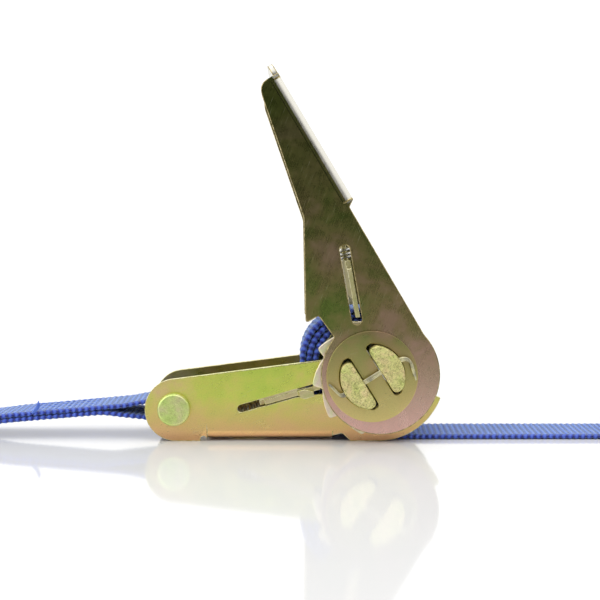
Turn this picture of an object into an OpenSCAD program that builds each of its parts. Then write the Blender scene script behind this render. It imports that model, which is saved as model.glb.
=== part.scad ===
// Ratchet tie-down for 25 mm webbing: pressed frame, ratchet handle, split drum and straps.
// Millimetres. The origin is the drum's axis, midway between the cheeks.
// X runs towards the load strap, Z is up, and the buckle stands on z = -floor_drop.

/* [Webbing] */
// Width of the webbing
strap_w = 25; // [20:0.5:25.5]
// Thickness of one layer of webbing
strap_t = 1.65; // [1.2:0.05:1.7]
// Turns in the stored roll of the load strap
roll_turns = 14; // [4:1:16]
// Radius of the hole in the middle of the stored roll
roll_core_r = 8; // [6:0.5:12]
// Distance from the drum's axis to the nearest part of the stored roll
roll_start_x = 110; // [108:1:160]

/* [Frame] */
// Height of the drum's axis above the floor
floor_drop = 21.7; // [21.7:0.1:22]
// Half the clear width between the frame's cheeks
frame_in = 13.6; // [13.3:0.1:13.8]
// Thickness of the frame's sheet steel
frame_t = 1.8; // [1.4:0.1:1.8]
// Radius of the large cam at the frame's open end
cam_r = 21.7; // [21:0.1:21.7]
// Radius of the frame's end above the locking step
cam_low_r = 18; // [16:0.5:18.5]
// Radius of the frame's rounded tail
tail_r = 10.2; // [9.6:0.05:10.3]
// Width of the frame pawl's slot
frame_slot_w = 2.5; // [2.3:0.02:2.8]

/* [Handle] */
// Thickness of the handle's sheet steel
handle_t = 1.8; // [1.4:0.1:1.8]
// Radius of the handle's round end
handle_end_r = 19.2; // [18:0.1:19.4]
// Length of the grip's cross web
grip_len = 46; // [40:0.1:46.2]
// How far the grip's lip stands past its cheeks
grip_lip = 5.3; // [3:0.1:6]
// Width of the drive pawl's slot
handle_slot_w = 3.3; // [2.9:0.1:3.4]

/* [Drum and gears] */
// Radius of the two drum halves together
drum_r = 10.35; // [9.5:0.05:10.35]
// Half the gap between the two drum halves
drum_gap = 3.2; // [2.8:0.1:3.6]
// How far each drum half reaches from the middle plane
drum_reach = 24.6; // [24:0.1:26]
// Turn of the drum, from +X towards +Z, at rest
drum_turn = 32; // [0:1:359]
// Number of teeth on each ratchet gear
gear_teeth = 10; // [10:1:10]
// Radius of the tooth tips
tooth_tip_r = 19.3; // [19:0.1:19.3]
// Radius of the tooth roots
tooth_root_r = 16.6; // [16:0.1:16.8]
// Thickness of each gear
gear_t = 2.3; // [1.8:0.1:2.3]
// Radius of the outer washers
washer_r = 14.7; // [13:0.1:15]
// Thickness of the outer washers
washer_t = 1; // [0.8:0.1:1.2]

/* [Pawls and springs] */
// Thickness of the frame pawl
frame_pawl_t = 1.7; // [1.4:0.1:1.8]
// Thickness of the drive pawl
drive_pawl_t = 1.5; // [1.3:0.1:1.6]
// Wire diameter of both springs
spring_wire = 0.75; // [0.6:0.05:0.8]
// Mean radius of both springs
spring_r = 3; // [2.9:0.05:3.1]

/* [Hidden] */
$fn = 96;

steel_yellow = "DarkKhaki";
steel_dark = "DarkOliveGreen";
strap_blue = "RoyalBlue";
thread_blue = "MediumBlue";

// Clearances
run_gap = 0.08;   // radial gap of the drum in its round holes
side_gap = 0.3;   // gap between neighbouring moving plates
fit_gap = 0.1;    // gap between pieces that turn together
cut = 60;         // longer than anything it has to cut
sink = 0.03;      // how far a joining face starts inside the piece that it joins

// The stack of plates, measured from the middle plane
frame_out = frame_in + frame_t;
gear_in = frame_out + side_gap;
gear_out = gear_in + gear_t;
handle_in = gear_out + side_gap;
handle_out = handle_in + handle_t;
washer_in = handle_out + fit_gap;
washer_out = washer_in + washer_t;

// Frame outline
floor_z = -floor_drop;
cam_centre = [2.4, 0];
cam_step_angle = -20.3;
tail_centre = [-63.6, floor_z + tail_r];
bar_slope = 7.3;
bar_top_x = 0;
web_lift = 0.9;
web_x0 = -53.5;
web_x1 = -12.5;
bend_r = 2.6;
bend_height = 3;
relief_r = 1.1;
relief_left_x = -54.6;
relief_peak = [-9.7, -19.2];
relief_foot_x = -6.5;
web_z = floor_z + web_lift;

// Spring seat lanced up from the frame's web
seat_x = -47;
seat_half_w = 6;
seat_top_z = -7.6;
lance_x1 = -35.5;

// Anchor bolt
bolt_centre = tail_centre + [-0.6, 0.2];
bolt_r = 2.5;
bolt_head_r = 5.35;
bolt_head_t = 2.2;
bolt_washer_t = 0.9;
bolt_end_r = 3.5;
bolt_end_t = 1;
sleeve_in_r = bolt_r + fit_gap;
sleeve_out_r = 3.6;

// Frame pawl, along its slide line
frame_slide_angle = 195.8;
frame_slot_line = -0.85;
frame_slot_s0 = 14.6;
frame_slot_s1 = 44.9;
frame_slot_flare = 1.2;
frame_flare_s = 27;
frame_flare_end_s = 16.3;
frame_pawl_line = -0.7;
frame_tip_s = tooth_tip_r + 0.2;
frame_nose_s = 17.1;
frame_nose_drop = 1.4;
frame_finger_s = 24.2;
body_start = 24.2;
frame_ear_s = 35.8;
frame_body_s = 37.6;
frame_prong_s = 52;
ear_in = strap_w / 2 + side_gap;
prong_half_w = 2.2;

// Handle outline
handle_centre = [2.75, 0.3];
grip_low = [-6, 56.9];
grip_angle = 120.9;
grip_bend_r = 2.4;
grip_bend_depth = 3.4;
grip_inset = 0.15;
grip_overlap = 0.5;
grip_end = 0.8;
lip_half_w = 16;
lip_corner_r = 4;

// Drive pawl, along the handle's slot
drive_slide_angle = 100;
drive_line = 1.65;
drive_slot_s0 = 17.3;
drive_slot_s1 = 43;
drive_pawl_line = drive_line - 0.45;
drive_tip_s = tooth_tip_r + 0.2;
drive_ear_s = 35.3;
drive_body_start = 25.1;
drive_body_s = 38;
drive_seat_s = 49.2;
drive_seat_t = 1.6;
drive_prong_s = 54.5;
drive_lip_s = 53;
drive_lip_half_w = 7;
drive_lip_reach = 6;
tongue_len = 6.4;
tongue_inset = 2.6;
tongue_step = 0.8;
tongue_wall = 1.15;
tongue_half_w = 7;
seat_side = 5;
seat_overlap = 0.4;
prong_gap = 0.25;

// Split pins through the drum's ends
pin_r = 0.8;
pin_y = 22.9;
pin_exit = 10.4;
pin_rod_r = 0.76;
pin_overlap = 0.3;
// each end's bend radius, bend angle and straight leg
pin_ends = [[2.4, 107, 5.2], [1.6, 76, 5]];

// Drum halves
half_moon_len = 8.25;
half_moon_corner = 1.6;
hole_gap = 0.25;
hole_half_len = 9.3;
hole_corner = 1.2;

// One ratchet tooth: angle past its tip, and share of the tooth's height
first_tip = 10.8;
tooth_profile = [
    [-6, 0.89], [-3, 1], [-1.2, 0.98], [0, 0.85], [2, 0.4], [3.6, 0.03], [5.5, 0], [13, 0.26], [22, 0.6]
];

// Straps
lap_r = floor_drop;
lap_t = 5.2;
wound_r = lap_r - lap_t - 0.15;
drum_layers_half = 1.7;
roll_pitch = 1.7;
roll_r = roll_core_r + roll_turns * roll_pitch;
roll_centre = [roll_start_x + roll_r, floor_z + roll_r];
run_end_x = roll_centre.x - sqrt(pow(roll_r, 2) - pow(roll_r - strap_t, 2)) - 0.5;
tie_w = 5;
tie_t = 1.1;
tie_gap = 0.15;

// Anchor strap: doubled over the bolt, down to the floor, and open again at its end eye
bolt_eye_r = sleeve_out_r + fit_gap;
merge_point = [-88, -12.2];
slope_point = [-119, -14.35];
land_point = [-152, floor_z + strap_t];
split_point = [-168, floor_z + strap_t];
end_eye_r = 4;
end_eye_centre = [-194, floor_z + strap_t + end_eye_r];
drop_steps = 8;
eye_steps = 24;

// Stitching
thread_t = 0.3;
thread_w = 0.9;
stitch_x = [-113, -91];
stitch_half_w = 9;
eye_stitch_x = [-166, -154.5];

// ---- Helpers ----

function unit(v) = v / norm(v);
function pol(r, a) = [r * cos(a), r * sin(a)];
function turned(v) = [-v.y, v.x];

// The arc of radius r that rounds the corner b of the path a, b, c
function corner_arc(a, b, c, r, steps) =
    let (
        u = unit(a - b),
        v = unit(c - b),
        half = acos(u * v) / 2,
        middle = b + unit(u + v) * r / sin(half),
        p = b + u * r / tan(half) - middle,
        q = b + v * r / tan(half) - middle,
        start = atan2(p.y, p.x),
        sweep = (atan2(q.y, q.x) - start + 540) % 360 - 180
    )
    [for (k = [0 : steps]) middle + pol(r, start + sweep * k / steps)];

// A closed outline from [x, y, corner radius] rows
function soft_outline(rows, steps = 6) =
    let (n = len(rows), p = [for (row = rows) [row.x, row.y]])
    [
        for (i = [0 : n - 1])
            each rows[i].z == 0
                ? [p[i]]
                : corner_arc(p[(i + n - 1) % n], p[i], p[(i + 1) % n], rows[i].z, steps)
    ];

// A band of thickness t along a line of points
function heading(p, i) = unit(p[min(i + 1, len(p) - 1)] - p[max(i - 1, 0)]);
function edge(p, d) = [for (i = [0 : len(p) - 1]) p[i] + d * turned(heading(p, i))];
function backwards(p) = [for (i = [len(p) - 1 : -1 : 0]) p[i]];
function band(p, t) = concat(edge(p, t / 2), backwards(edge(p, -t / 2)));

// The angle, at a circle's centre, of the point where a line from p touches it
function touch_angle(p, centre, r, side) =
    atan2(centre.y - p.y, centre.x - p.x) + side * (asin(r / norm(centre - p)) + 90);

// A plate between y0 and y1, cut to an outline drawn in X and Z
module plate(y0, y1) {
    translate([0, y1, 0])
        rotate([90, 0, 0])
            linear_extrude(y1 - y0)
                children();
}

module both_sides() {
    children();
    mirror([0, 1, 0])
        children();
}

// Turns local X to a direction in the X-Z plane, with local Z to its left
module along(angle) {
    rotate([0, -angle, 0])
        children();
}

// A bar along local X from a section drawn in Y and Z
module bar(x0, x1) {
    translate([x0, 0, 0])
        rotate([90, 0, 90])
            linear_extrude(x1 - x0)
                children();
}

module box(low, high) {
    translate(low)
        cube(high - low);
}

module round_rod(y0, y1, r) {
    plate(y0, y1)
        circle(r = r);
}

module slot_outline(x0, x1, w) {
    translate([x0 + w / 2, -w / 2])
        square([x1 - x0 - w, w]);
    for (x = [x0 + w / 2, x1 - w / 2])
        translate([x, 0])
            circle(d = w);
}

module soft_rect(low, high, r) {
    translate([low.x + r, low.y])
        square([high.x - low.x - 2 * r, high.y - low.y]);
    translate([low.x, low.y + r])
        square([high.x - low.x, high.y - low.y - 2 * r]);
    for (x = [low.x + r, high.x - r], y = [low.y + r, high.y - r])
        translate([x, y])
            circle(r = r);
}

// The corner of a channel bent from sheet: flat side at y = 0, opening upwards
module channel_section(half_w, t, outer_r, height) {
    intersection() {
        difference() {
            soft_rect([-half_w, 0], [half_w, half_w], outer_r);
            soft_rect([-half_w + t, t], [half_w - t, half_w], outer_r - t);
        }
        translate([-half_w, 0])
            square([2 * half_w, height]);
    }
}

// A coil spring along local X
module coil(x0, x1, turns, ring_r, wire, sides = 6, per_turn = 14) {
    rings = turns * per_turn;
    rise = x1 - x0 - wire;
    points = [
        for (i = [0 : rings], k = [0 : sides - 1])
            let (a = 360 * i / per_turn, r = ring_r + wire / 2 * cos(360 * k / sides))
            [
                x0 + wire / 2 + rise * i / rings + wire / 2 * sin(360 * k / sides),
                r * cos(a),
                r * sin(a)
            ]
    ];
    skin = [
        for (i = [0 : rings - 1], k = [0 : sides - 1])
            [i * sides + k, i * sides + (k + 1) % sides,
             (i + 1) * sides + (k + 1) % sides, (i + 1) * sides + k]
    ];
    first = [for (k = [sides - 1 : -1 : 0]) k];
    last = [for (k = [0 : sides - 1]) rings * sides + k];
    polyhedron(points, concat(skin, [first, last]), convexity = 12);
}

// ---- Frame ----

module frame_outline() {
    tail_touch = tail_centre + pol(tail_r - sink, 90 + bar_slope);
    bar_top_z = tail_touch.y + (bar_top_x - tail_touch.x) * tan(bar_slope);
    difference() {
        union() {
            translate(tail_centre)
                circle(r = tail_r);
            polygon([
                tail_touch, [bar_top_x, bar_top_z],
                [cam_centre.x, floor_z], [tail_centre.x, floor_z]
            ]);
            translate(cam_centre)
                circle(r = cam_low_r);
            translate(cam_centre)
                intersection() {
                    circle(r = cam_r, $fn = 160);
                    polygon([[0, 0], pol(cut, cam_step_angle), pol(cut, -60), pol(cut, -100)]);
                }
        }
        circle(r = drum_r + run_gap);
        translate(bolt_centre)
            circle(r = bolt_r + fit_gap);
        rotate(frame_slide_angle)
            translate([0, frame_slot_line]) {
                slot_outline(frame_slot_s0, frame_slot_s1, frame_slot_w);
                polygon([
                    [frame_flare_s, 0], [frame_flare_s, frame_slot_w / 2 - 0.2],
                    [frame_nose_s, frame_slot_w / 2 + frame_slot_flare],
                    [frame_flare_end_s, frame_slot_w / 2 + frame_slot_flare], [frame_flare_end_s, 0]
                ]);
            }
        translate([web_x0, floor_z - 1])
            square([web_x1 - web_x0, web_lift + bend_height + 1]);
        translate([relief_left_x, web_z - 0.4])
            circle(r = relief_r);
        translate([relief_left_x - relief_r, floor_z - 1])
            square([web_x0 - relief_left_x + relief_r, 1.5]);
        polygon([
            [web_x1 - 0.01, floor_z - 1], [web_x1 - 0.01, relief_peak.y - 0.7], relief_peak,
            [relief_peak.x + 0.7, relief_peak.y - 0.3], [relief_foot_x, floor_z - 0.2],
            [relief_foot_x, floor_z - 1]
        ]);
    }
}

module frame_channel() {
    color(steel_yellow)
        difference() {
            union() {
                both_sides()
                    plate(frame_in, frame_out)
                        frame_outline();
                translate([0, 0, web_z])
                    bar(web_x0, web_x1)
                        channel_section(frame_out, frame_t, bend_r, bend_height);
                bar(seat_x - frame_t / 2, seat_x + frame_t / 2)
                    soft_rect([-seat_half_w, web_z + frame_t / 2], [seat_half_w, seat_top_z], 1.5);
            }
            // the sheet that the spring seat was bent from
            box([seat_x + frame_t / 2, -seat_half_w, web_z - 1], [lance_x1, seat_half_w, web_z + 3]);
            // the slot in the seat for the frame pawl's prong
            along(frame_slide_angle)
                box(
                    [frame_body_s + 5, -prong_half_w - prong_gap, frame_pawl_line - frame_pawl_t / 2 - prong_gap],
                    [frame_prong_s + 5, prong_half_w + prong_gap, frame_pawl_line + frame_pawl_t / 2 + prong_gap]
                );
        }
}

module anchor_bolt() {
    color(steel_yellow)
        translate([bolt_centre.x, 0, bolt_centre.y]) {
            round_rod(-frame_out - 0.4, frame_out + bolt_washer_t + 0.4, bolt_r);
            rotate([90, 0, 0])
                translate([0, 0, frame_out])
                    rotate_extrude()
                        polygon([
                            [0, 0], [bolt_head_r, 0], [bolt_head_r, bolt_head_t - 0.7],
                            [bolt_head_r - 0.3, bolt_head_t - 0.2],
                            [bolt_head_r - 0.8, bolt_head_t], [0, bolt_head_t]
                        ]);
            round_rod(
                frame_out + bolt_washer_t,
                frame_out + bolt_washer_t + bolt_end_t,
                bolt_end_r
            );
        }
}

module anchor_bolt_sleeve() {
    color("silver")
        translate([bolt_centre.x, 0, bolt_centre.y])
            plate(-frame_in + fit_gap, frame_in - fit_gap)
                difference() {
                    circle(r = sleeve_out_r);
                    circle(r = sleeve_in_r);
                }
}

module anchor_bolt_washer() {
    color("silver")
        translate([bolt_centre.x, 0, bolt_centre.y])
            plate(frame_out, frame_out + bolt_washer_t)
                difference() {
                    circle(r = bolt_head_r + 0.3);
                    circle(r = sleeve_in_r);
                }
}

// ---- Pawls and their springs ----

module pawl_layer(line, t, s0, s1, half_w) {
    box([s0, -half_w, line - t / 2], [s1, half_w, line + t / 2]);
}

// The finger outside the cheek, along the slide line: its nose drops towards the gear
module frame_finger_outline() {
    top = frame_pawl_line - frame_pawl_t / 2;
    low = frame_pawl_line + frame_pawl_t / 2;
    polygon([
        [frame_finger_s, top], [frame_finger_s, low + frame_nose_drop / 2],
        [frame_finger_s - 1.5, low + frame_nose_drop], [frame_tip_s, low + frame_nose_drop],
        [frame_tip_s, top + frame_nose_drop], [frame_finger_s - 2, top]
    ]);
}

module frame_pawl() {
    color(steel_yellow)
        along(frame_slide_angle) {
            pawl_layer(frame_pawl_line, frame_pawl_t, body_start, frame_body_s, frame_in - side_gap);
            pawl_layer(frame_pawl_line, frame_pawl_t, frame_body_s - 1, frame_prong_s, prong_half_w);
            both_sides() {
                box(
                    [frame_nose_s, ear_in, frame_pawl_line - frame_pawl_t / 2],
                    [frame_ear_s, frame_out, frame_pawl_line + frame_pawl_t / 2]
                );
                box(
                    [frame_finger_s - 1, frame_out - 1, frame_pawl_line - frame_pawl_t / 2],
                    [frame_finger_s + 0.4, gear_out - 0.3, frame_pawl_line + frame_pawl_t / 2]
                );
                // the finger that reaches out to the gear
                plate(frame_out + fit_gap, gear_out - 0.2)
                    frame_finger_outline();
            }
        }
}

module frame_pawl_spring() {
    tilt = frame_slide_angle - 180;
    seat_reach = -seat_x - frame_t / 2 + (frame_pawl_line - spring_r - spring_wire) * sin(tilt);
    color("silver")
        along(frame_slide_angle)
            translate([0, 0, frame_pawl_line])
                coil(frame_body_s + 0.1, seat_reach / cos(tilt) - 0.1, 4, spring_r, spring_wire);
}

module drive_pawl() {
    line = drive_pawl_line;
    color(steel_yellow)
        along(drive_slide_angle) {
            pawl_layer(line, drive_pawl_t, drive_body_start, drive_body_s, handle_in - side_gap);
            pawl_layer(line, drive_pawl_t, drive_body_s - 1, drive_prong_s, prong_half_w);
            both_sides() {
                box(
                    [drive_tip_s, frame_out + side_gap, line - drive_pawl_t / 2],
                    [drive_body_start + 1, handle_out, line + drive_pawl_t / 2]
                );
                box(
                    [drive_body_start, gear_out - 1, line - drive_pawl_t / 2],
                    [drive_ear_s, handle_out, line + drive_pawl_t / 2]
                );
            }
            box(
                [drive_lip_s, -drive_lip_half_w, line - drive_pawl_t / 2],
                [drive_prong_s, drive_lip_half_w, drive_lip_reach]
            );
        }
}

module drive_pawl_spring() {
    color("silver")
        along(drive_slide_angle)
            translate([0, 0, drive_pawl_line])
                coil(drive_body_s + 0.1, drive_seat_s - 0.1, 6, spring_r, spring_wire);
}

// ---- Handle ----

// A point on the cheek's edge along the grip, just under the web's outer face
function on_grip(s) = grip_low + s * pol(1, grip_angle) + grip_inset * turned(pol(1, grip_angle));

module handle_outline() {
    low = on_grip(0);
    high = on_grip(grip_len + grip_end);
    difference() {
        union() {
            translate(handle_centre)
                circle(r = handle_end_r, $fn = 160);
            polygon(soft_outline([
                [18, 11.3, 0], [-7.3, 54.3, 0.5], [low.x, low.y, 0],
                [high.x, high.y, 0.3], [-36, 93.5, 3.6], [-35.3, 89.6, 3], [-22, 50.9, 6],
                [-21.4, 17, 0.7], [-17.2, 19.4, 0.5], [-12, 12.2, 0], [0, 0, 0]
            ]));
        }
        circle(r = drum_r + run_gap);
        rotate(drive_slide_angle)
            translate([0, drive_line])
                slot_outline(drive_slot_s0, drive_slot_s1, handle_slot_w);
        // the strip along the grip that is bent into the web
        translate(grip_low)
            rotate(grip_angle)
                translate([grip_overlap, -5])
                    square([grip_len - 2 * grip_overlap, 5 + grip_bend_depth]);
    }
}

module grip_web() {
    translate([grip_low.x, 0, grip_low.y])
        along(grip_angle) {
            bar(grip_overlap / 2, grip_len - grip_overlap / 2)
                channel_section(handle_out - sink, handle_t - 2 * sink, grip_bend_r, grip_bend_depth + 1);
            // the lip past the cheeks, and the tongue down to the spring seat
            linear_extrude(handle_t)
                soft_rect([grip_len - 12, -lip_half_w], [grip_len + grip_lip, lip_half_w], lip_corner_r);
            box(
                [-tongue_len, -tongue_half_w, tongue_inset],
                [tongue_step, tongue_half_w, tongue_inset + handle_t]
            );
            box(
                [tongue_step - tongue_wall, -tongue_half_w, sink],
                [tongue_step, tongue_half_w, tongue_inset + handle_t]
            );
        }
}

module drive_spring_seat() {
    foot = grip_low - tongue_len * pol(1, grip_angle) + tongue_inset * turned(pol(1, grip_angle));
    low = foot * turned(pol(1, drive_slide_angle)) - seat_overlap;
    along(drive_slide_angle)
        difference() {
            box([drive_seat_s, -tongue_half_w, low], [drive_seat_s + drive_seat_t, tongue_half_w, seat_side]);
            box(
                [drive_seat_s - 1, -prong_half_w - prong_gap, drive_pawl_line - drive_pawl_t / 2 - prong_gap],
                [
                    drive_seat_s + drive_seat_t + 1, prong_half_w + prong_gap,
                    drive_pawl_line + drive_pawl_t / 2 + prong_gap
                ]
            );
        }
}

module handle_channel() {
    color(steel_dark) {
        both_sides()
            plate(handle_in, handle_out)
                handle_outline();
        grip_web();
        drive_spring_seat();
    }
}

// ---- Drum, gears and washers ----

module half_moon(r, flat, half_len, corner) {
    intersection() {
        circle(r = r);
        soft_rect([flat, -half_len], [r + 2 * corner, half_len], corner);
    }
}

module pin_bore() {
    both_sides()
        translate([0, pin_y, 0])
            rotate([0, 90, 0])
                cylinder(r = pin_r + fit_gap, h = cut, center = true, $fn = 32);
}

module drum_half() {
    color("PaleGoldenrod")
        difference() {
            plate(-drum_reach, drum_reach)
                half_moon(drum_r, drum_gap, half_moon_len, half_moon_corner);
            pin_bore();
        }
}

module drum_half_upper() {
    along(drum_turn)
        drum_half();
}

module drum_half_lower() {
    along(drum_turn + 180)
        drum_half();
}

// Two half-moon holes that the drum halves pass through
module drum_holes() {
    for (turn = [0, 180])
        rotate(drum_turn + turn)
            half_moon(drum_r + hole_gap, drum_gap - hole_gap, hole_half_len, hole_corner);
}

module gear_outline() {
    difference() {
        polygon([
            for (k = [0 : gear_teeth - 1], row = tooth_profile)
                pol(
                    tooth_root_r + row.y * (tooth_tip_r - tooth_root_r),
                    first_tip + k * 360 / gear_teeth + row.x
                )
        ]);
        drum_holes();
    }
}

module gear(side) {
    color("BurlyWood")
        plate(min(side * gear_in, side * gear_out), max(side * gear_in, side * gear_out))
            gear_outline();
}

module washer(side) {
    color("Khaki")
        plate(min(side * washer_in, side * washer_out), max(side * washer_in, side * washer_out))
            difference() {
                circle(r = washer_r);
                drum_holes();
            }
}

// One end of a split pin, bent round outside the drum and then straight
module pin_end(bend_r, bend, leg) {
    translate([pin_exit, 0, -bend_r])
        along(90 - bend) {
            rotate([90, 0, 0])
                rotate_extrude(angle = bend)
                    translate([bend_r, 0])
                        circle(r = pin_r, $fn = 32);
            translate([bend_r, 0, -leg])
                cylinder(r = pin_rod_r, h = leg + pin_overlap, $fn = 32);
        }
}

// A wire pin through both drum halves, with its ends bent over outside them
module split_pin(side) {
    color("silver")
        translate([0, side * pin_y, 0])
            along(drum_turn) {
                rotate([0, 90, 0])
                    cylinder(r = pin_rod_r, h = 2 * (pin_exit + pin_overlap), center = true, $fn = 32);
                for (end = [0, 1])
                    rotate([0, 180 * end, 0])
                        pin_end(pin_ends[end][0], pin_ends[end][1], pin_ends[end][2]);
            }
}

// ---- Straps ----

module wound_webbing() {
    color(strap_blue)
        plate(-strap_w / 2, strap_w / 2) {
            difference() {
                circle(r = wound_r);
                circle(r = drum_r + fit_gap);
            }
            rotate(drum_turn)
                translate([-drum_layers_half, -drum_r - 0.5])
                    square([2 * drum_layers_half, 2 * drum_r + 1]);
        }
}

module load_strap() {
    color(strap_blue)
        plate(-strap_w / 2, strap_w / 2) {
            difference() {
                circle(r = lap_r, $fn = 160);
                circle(r = lap_r - lap_t, $fn = 160);
            }
            translate([0, floor_z])
                square([run_end_x, strap_t]);
        }
}

module strap_roll() {
    color(strap_blue)
        translate([roll_centre.x, 0, roll_centre.y])
            plate(-strap_w / 2, strap_w / 2)
                difference() {
                    circle(r = roll_r);
                    circle(r = roll_core_r);
                }
}

module roll_tie() {
    inner_w = strap_w / 2 + tie_gap;
    low_z = roll_core_r - tie_t - 1.2;
    color("DimGray")
        translate([roll_centre.x - tie_w / 2, 0, roll_centre.y])
            bar(0, tie_w)
                difference() {
                    soft_rect([-inner_w - tie_t, low_z], [inner_w + tie_t, roll_r + tie_gap + tie_t], 1);
                    soft_rect([-inner_w, low_z + tie_t], [inner_w, roll_r + tie_gap], 0.4);
                }
}

// The doubled strap's middle line, from the bolt eye down to the floor
slope = (slope_point.y - merge_point.y) / (slope_point.x - merge_point.x);
function ease(k) =
    let (t = k / drop_steps, dx = land_point.x - slope_point.x)
    [
        slope_point.x + dx * t,
        (2 * pow(t, 3) - 3 * pow(t, 2) + 1) * slope_point.y
            + (pow(t, 3) - 2 * pow(t, 2) + t) * dx * slope
            + (3 * pow(t, 2) - 2 * pow(t, 3)) * land_point.y
    ];
doubled_line = concat(
    [merge_point, slope_point],
    [for (k = [1 : drop_steps]) ease(k)],
    [split_point]
);

// The arc of an eye, from the lower line that touches it to the upper one. Low and high are the lines' far ends.
function eye_arc(low, high, centre, r, side) =
    let (
        a0 = touch_angle(low, centre, r, -side),
        a1 = touch_angle(high, centre, r, side)
    )
    [for (k = [0 : eye_steps]) centre + pol(r, a0 + (a1 - a0) * k / eye_steps)];

module anchor_strap() {
    upper = edge(doubled_line, -strap_t);
    lower = edge(doubled_line, strap_t);
    last = len(doubled_line) - 1;
    color(strap_blue)
        plate(-strap_w / 2, strap_w / 2)
            difference() {
                polygon(concat(
                    eye_arc(lower[0], upper[0], bolt_centre, bolt_eye_r + strap_t, 1),
                    upper,
                    backwards(eye_arc(lower[last], upper[last], end_eye_centre, end_eye_r + strap_t, -1)),
                    backwards(lower)
                ));
                polygon(concat(
                    [merge_point],
                    eye_arc(merge_point, merge_point, bolt_centre, bolt_eye_r, 1)
                ));
                polygon(concat(
                    [split_point],
                    eye_arc(split_point, split_point, end_eye_centre, end_eye_r, -1)
                ));
            }
}

// A rectangle of thread lying on a strap between x0 and x1
module stitch_box(x0, x1) {
    linear_extrude(thread_t)
        difference() {
            translate([x0, -stitch_half_w])
                square([x1 - x0, 2 * stitch_half_w]);
            translate([x0 + thread_w, -stitch_half_w + thread_w])
                square([x1 - x0 - 2 * thread_w, 2 * (stitch_half_w - thread_w)]);
        }
}

module anchor_stitching() {
    color(thread_blue)
        translate([merge_point.x, 0, merge_point.y])
            along(atan(slope))
                translate([0, 0, strap_t + 0.02])
                    stitch_box(stitch_x[0] - merge_point.x, stitch_x[1] - merge_point.x);
}

module eye_stitching() {
    color(thread_blue)
        translate([0, 0, floor_z + 2 * strap_t + 0.02])
            stitch_box(eye_stitch_x[0], eye_stitch_x[1]);
}

frame_channel();
anchor_bolt();
anchor_bolt_sleeve();
anchor_bolt_washer();
frame_pawl();
frame_pawl_spring();
handle_channel();
drive_pawl();
drive_pawl_spring();
drum_half_upper();
drum_half_lower();
gear(-1);  // near_gear
gear(1);  // far_gear
washer(-1);  // near_washer
washer(1);  // far_washer
split_pin(-1);  // near_split_pin
split_pin(1);  // far_split_pin
wound_webbing();
load_strap();
strap_roll();
roll_tie();
anchor_strap();
anchor_stitching();
eye_stitching();
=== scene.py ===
"""Ratchet tie down for 25 mm webbing: materials, webbing, springs, pins and stitching on the CAD frame."""

import math
import bmesh
import bpy
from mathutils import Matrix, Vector
from mathutils.bvhtree import BVHTree

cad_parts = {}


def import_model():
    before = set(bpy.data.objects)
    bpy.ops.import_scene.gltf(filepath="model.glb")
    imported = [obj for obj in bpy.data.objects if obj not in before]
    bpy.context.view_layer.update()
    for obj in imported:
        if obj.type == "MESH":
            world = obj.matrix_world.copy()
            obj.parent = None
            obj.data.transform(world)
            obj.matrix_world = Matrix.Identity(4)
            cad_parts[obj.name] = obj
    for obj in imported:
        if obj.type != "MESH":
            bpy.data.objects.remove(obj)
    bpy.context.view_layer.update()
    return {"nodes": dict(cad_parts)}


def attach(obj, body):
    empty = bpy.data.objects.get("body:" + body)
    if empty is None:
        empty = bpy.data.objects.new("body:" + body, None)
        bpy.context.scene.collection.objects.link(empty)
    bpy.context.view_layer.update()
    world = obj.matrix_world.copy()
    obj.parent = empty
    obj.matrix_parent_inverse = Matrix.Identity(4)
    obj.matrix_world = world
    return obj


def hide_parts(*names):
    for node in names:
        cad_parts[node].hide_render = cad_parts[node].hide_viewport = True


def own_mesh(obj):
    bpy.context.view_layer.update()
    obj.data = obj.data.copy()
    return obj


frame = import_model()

MM = 0.001
MM_PER_METRE = 1000

# ---- Sizes shared with the CAD, in millimetres ----
FLOOR = -21.7
STRAP_W = 25.0
STRAP_T = 1.65
BOLT = (-64.2, -11.3)
BOLT_EYE_R = 3.7
# places on the doubled anchor strap's middle line, from the bolt to the end eye
MERGE = (-88.0, -12.2)
SLOPE = (-119.0, -14.8)
LAND = (-152.0, FLOOR + STRAP_T)
SPLIT = (-168.0, FLOOR + STRAP_T)
END_EYE_R = 4.0
END_EYE = (-194.0, FLOOR + STRAP_T + END_EYE_R)
# the load strap's fixed last turns: each one steps in by a layer just before the step's angle
LAP_R = 21.7
LAP_LAYER = 1.75
LAP_ANGLES = range(-780, 268, 3)
LAP_STEP = -62
LAP_STEP_SPAN = 30
# where they stand off the drum: middle and half width in degrees, rise, its loss per layer, and fullness
LOOSE_ANGLE = 146
LOOSE_SPAN = 58
LOOSE_RISE = 2.8
LOOSE_RISE_LOSS = 0.55
LOOSE_PUFF = 0.28
# the turns inside them that go round with the drum
WOUND_R = 16.35
WOUND_TURNS = 2.75
DRUM_R = 10.35
DRUM_TURN = 32.0
ROLL_CORE = 8.0
ROLL_R = 31.8
ROLL_PITCH = 1.7
ROLL_X = 141.8
PIN_Y = 22.9
PIN_EXIT = 10.4
PIN_WIRE_R = 0.48
SPRING_WIRE_R = 0.375
SPRING_RING_R = 3.0
# directions in which the pawls slide outwards, in degrees
FRAME_SLIDE = 195.8
DRIVE_SLIDE = 100.0
# a point on the outline of the grip, and the direction of its edge in degrees
GRIP_START = (-6.0, 56.9)
GRIP_EDGE = 120.9


def linear(r, g, b):
    """A display colour, 0 to 255, as the linear colour that a shader takes."""
    def channel(value):
        v = value / 255
        return v / 12.92 if v <= 0.04045 else ((v + 0.055) / 1.055) ** 2.4
    return (channel(r), channel(g), channel(b), 1.0)


def polar(radius, degrees, centre=(0.0, 0.0)):
    """A point in X and Z on a circle."""
    angle = math.radians(degrees)
    return (centre[0] + radius * math.cos(angle), centre[1] + radius * math.sin(angle))


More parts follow.
